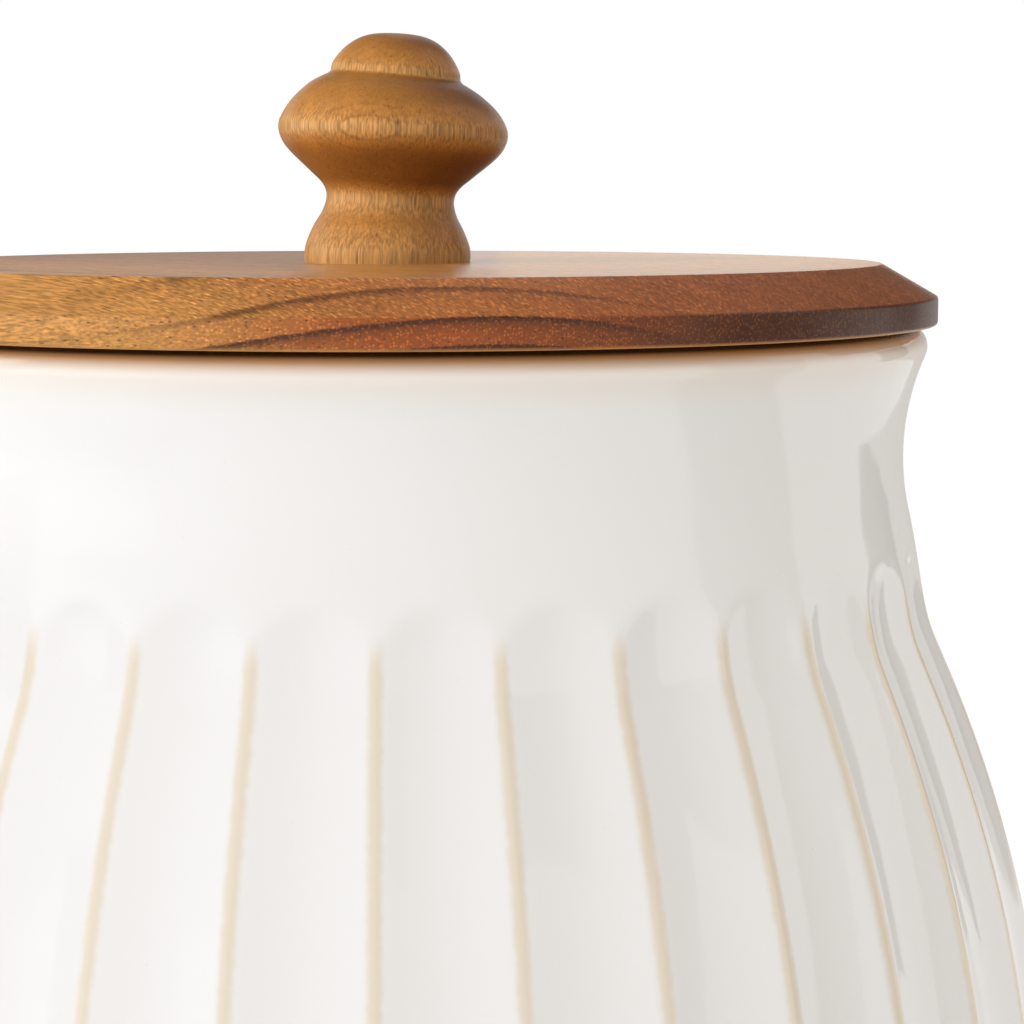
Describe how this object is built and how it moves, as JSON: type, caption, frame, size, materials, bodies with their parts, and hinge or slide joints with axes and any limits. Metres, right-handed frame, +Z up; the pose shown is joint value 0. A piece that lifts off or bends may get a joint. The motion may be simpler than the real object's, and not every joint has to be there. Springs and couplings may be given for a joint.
{
  "type": "onion keeper",
  "caption": "Glazed stoneware crock with a waisted plain neck and a fluted belly, closed by a loose bevelled wooden lid with a turned knob, for keeping onions.",
  "frame": {"origin": "centre of the crock's footprint, on the surface that it stands on", "axes": "+Z up along the crock's axis, -Y to the front, which is the middle of a flute"},
  "size_m": [0.183, 0.183, 0.2112],
  "materials": {
    "glaze": "gloss",
    "lid_wood": "oiled",
    "plug_wood": "oiled",
    "knob_wood": "oiled",
    "screw_steel": "satin"
  },
  "bodies": {
    "crock": {"crock": "glaze"},
    "lid": {"lid_board": "lid_wood", "lid_plug": "plug_wood", "knob": "knob_wood", "knob_screw": "screw_steel"}
  },
  "joints": [
    {"name": "lid_lift", "type": "slide", "parent": "crock", "child": "lid", "axis": [0, 0, 1], "range_m": [0, 0.15]}
  ]
}
